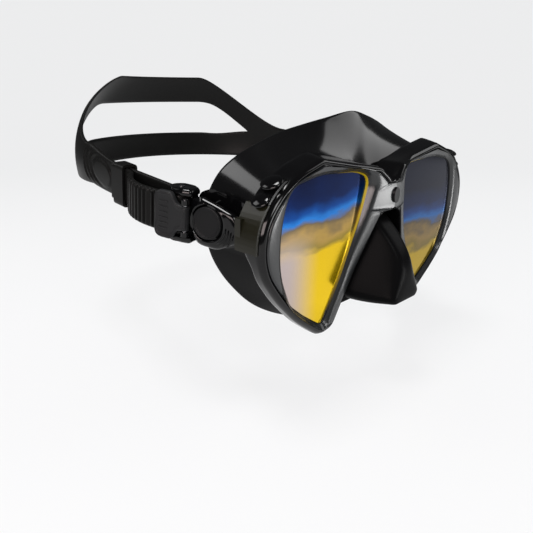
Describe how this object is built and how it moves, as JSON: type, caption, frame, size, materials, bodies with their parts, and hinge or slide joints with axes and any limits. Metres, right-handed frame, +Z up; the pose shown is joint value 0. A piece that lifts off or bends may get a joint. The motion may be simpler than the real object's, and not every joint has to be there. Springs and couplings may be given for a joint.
{
  "type": "diving mask",
  "caption": "Two-lens low-volume diving mask with a black silicone skirt and nose pocket, a rigid frame, swivelling quick-release strap buckles and a split head strap in its worn shape.",
  "frame": {"origin": "middle of the face opening of the skirt, on the middle plane, level front to back with the two buckle swivels", "axes": "+Z up, +Y towards the wearer and the back of the strap, so the lenses face -Y; +X is the wearer's left"},
  "size_m": [0.1946, 0.2346, 0.1222],
  "materials": {
    "silicone_black": "gloss",
    "frame_black": "polished",
    "bezel_charcoal": "satin",
    "lens_coated": "mirror coated",
    "badge_black": "polished",
    "clip_black": "polished",
    "bracket_satin": "satin",
    "pin_steel": "brushed",
    "backplate_black": "polished",
    "housing_black": "polished",
    "cap_black": "matte",
    "arm_black": "satin",
    "strap_rubber": "satin",
    "roller_black": "satin",
    "lever_charcoal": "matte",
    "keeper_black": "satin"
  },
  "bodies": {
    "mask_body": {"skirt": "silicone_black", "nose_pocket": "silicone_black", "main_frame": "frame_black", "front_bezel": "bezel_charcoal", "lens_right": "lens_coated", "lens_left": "lens_coated", "bridge_badge": "badge_black", "corner_clip_right": "clip_black", "corner_clip_left": "clip_black", "side_bracket_right": "bracket_satin", "side_bracket_left": "bracket_satin", "mount_pin_right": "pin_steel", "mount_pin_left": "pin_steel", "buckle_backplate_right": "backplate_black", "buckle_backplate_left": "backplate_black", "buckle_housing_right": "housing_black", "buckle_housing_left": "housing_black", "swivel_post_right": "pin_steel", "swivel_post_left": "pin_steel", "pivot_cap_right": "cap_black", "pivot_cap_left": "cap_black"},
    "strap_swing": {"buckle_arm_right": "arm_black", "buckle_arm_left": "arm_black", "roller_pin_right": "pin_steel", "roller_pin_left": "pin_steel", "lever_pin_right": "pin_steel", "lever_pin_left": "pin_steel", "lever_spring_right": "pin_steel", "lever_spring_left": "pin_steel", "head_strap": "strap_rubber"},
    "roller_right": {"strap_roller_right": "roller_black"},
    "lever_right": {"release_lever_right": "lever_charcoal"},
    "keeper_right": {"strap_keeper_right": "keeper_black"},
    "roller_left": {"strap_roller_left": "roller_black"},
    "lever_left": {"release_lever_left": "lever_charcoal"},
    "keeper_left": {"strap_keeper_left": "keeper_black"}
  },
  "joints": [
    {"name": "strap_swivel", "type": "hinge", "parent": "mask_body", "child": "strap_swing", "pos_m": [0, 0, 0.005], "axis": [1, 0, 0], "range_deg": [-35, 35]},
    {"name": "roller_spin_right", "type": "hinge", "parent": "strap_swing", "child": "roller_right", "pos_m": [-0.08646, 0.01811, 0.00722], "axis": [0, -0.1219, 0.9925], "continuous": true},
    {"name": "lever_press_right", "type": "hinge", "parent": "strap_swing", "child": "lever_right", "pos_m": [-0.0906, 0.0102, 0.00625], "axis": [0, -0.1219, 0.9925], "range_deg": [0, 25], "stiffness_Nm_per_rad": 0.02, "springref_deg": -17.19},
    {"name": "keeper_slide_right", "type": "slide", "parent": "strap_swing", "child": "keeper_right", "axis": [0, 0.9925, 0.1219], "range_m": [-0.0005, 0.004]},
    {"name": "roller_spin_left", "type": "hinge", "parent": "strap_swing", "child": "roller_left", "pos_m": [0.08646, 0.01811, 0.00722], "axis": [0, 0.1219, -0.9925], "continuous": true},
    {"name": "lever_press_left", "type": "hinge", "parent": "strap_swing", "child": "lever_left", "pos_m": [0.0906, 0.0102, 0.00625], "axis": [0, 0.1219, -0.9925], "range_deg": [0, 25], "stiffness_Nm_per_rad": 0.02, "springref_deg": -17.19},
    {"name": "keeper_slide_left", "type": "slide", "parent": "strap_swing", "child": "keeper_left", "axis": [0, 0.9925, 0.1219], "range_m": [-0.0005, 0.004]}
  ]
}
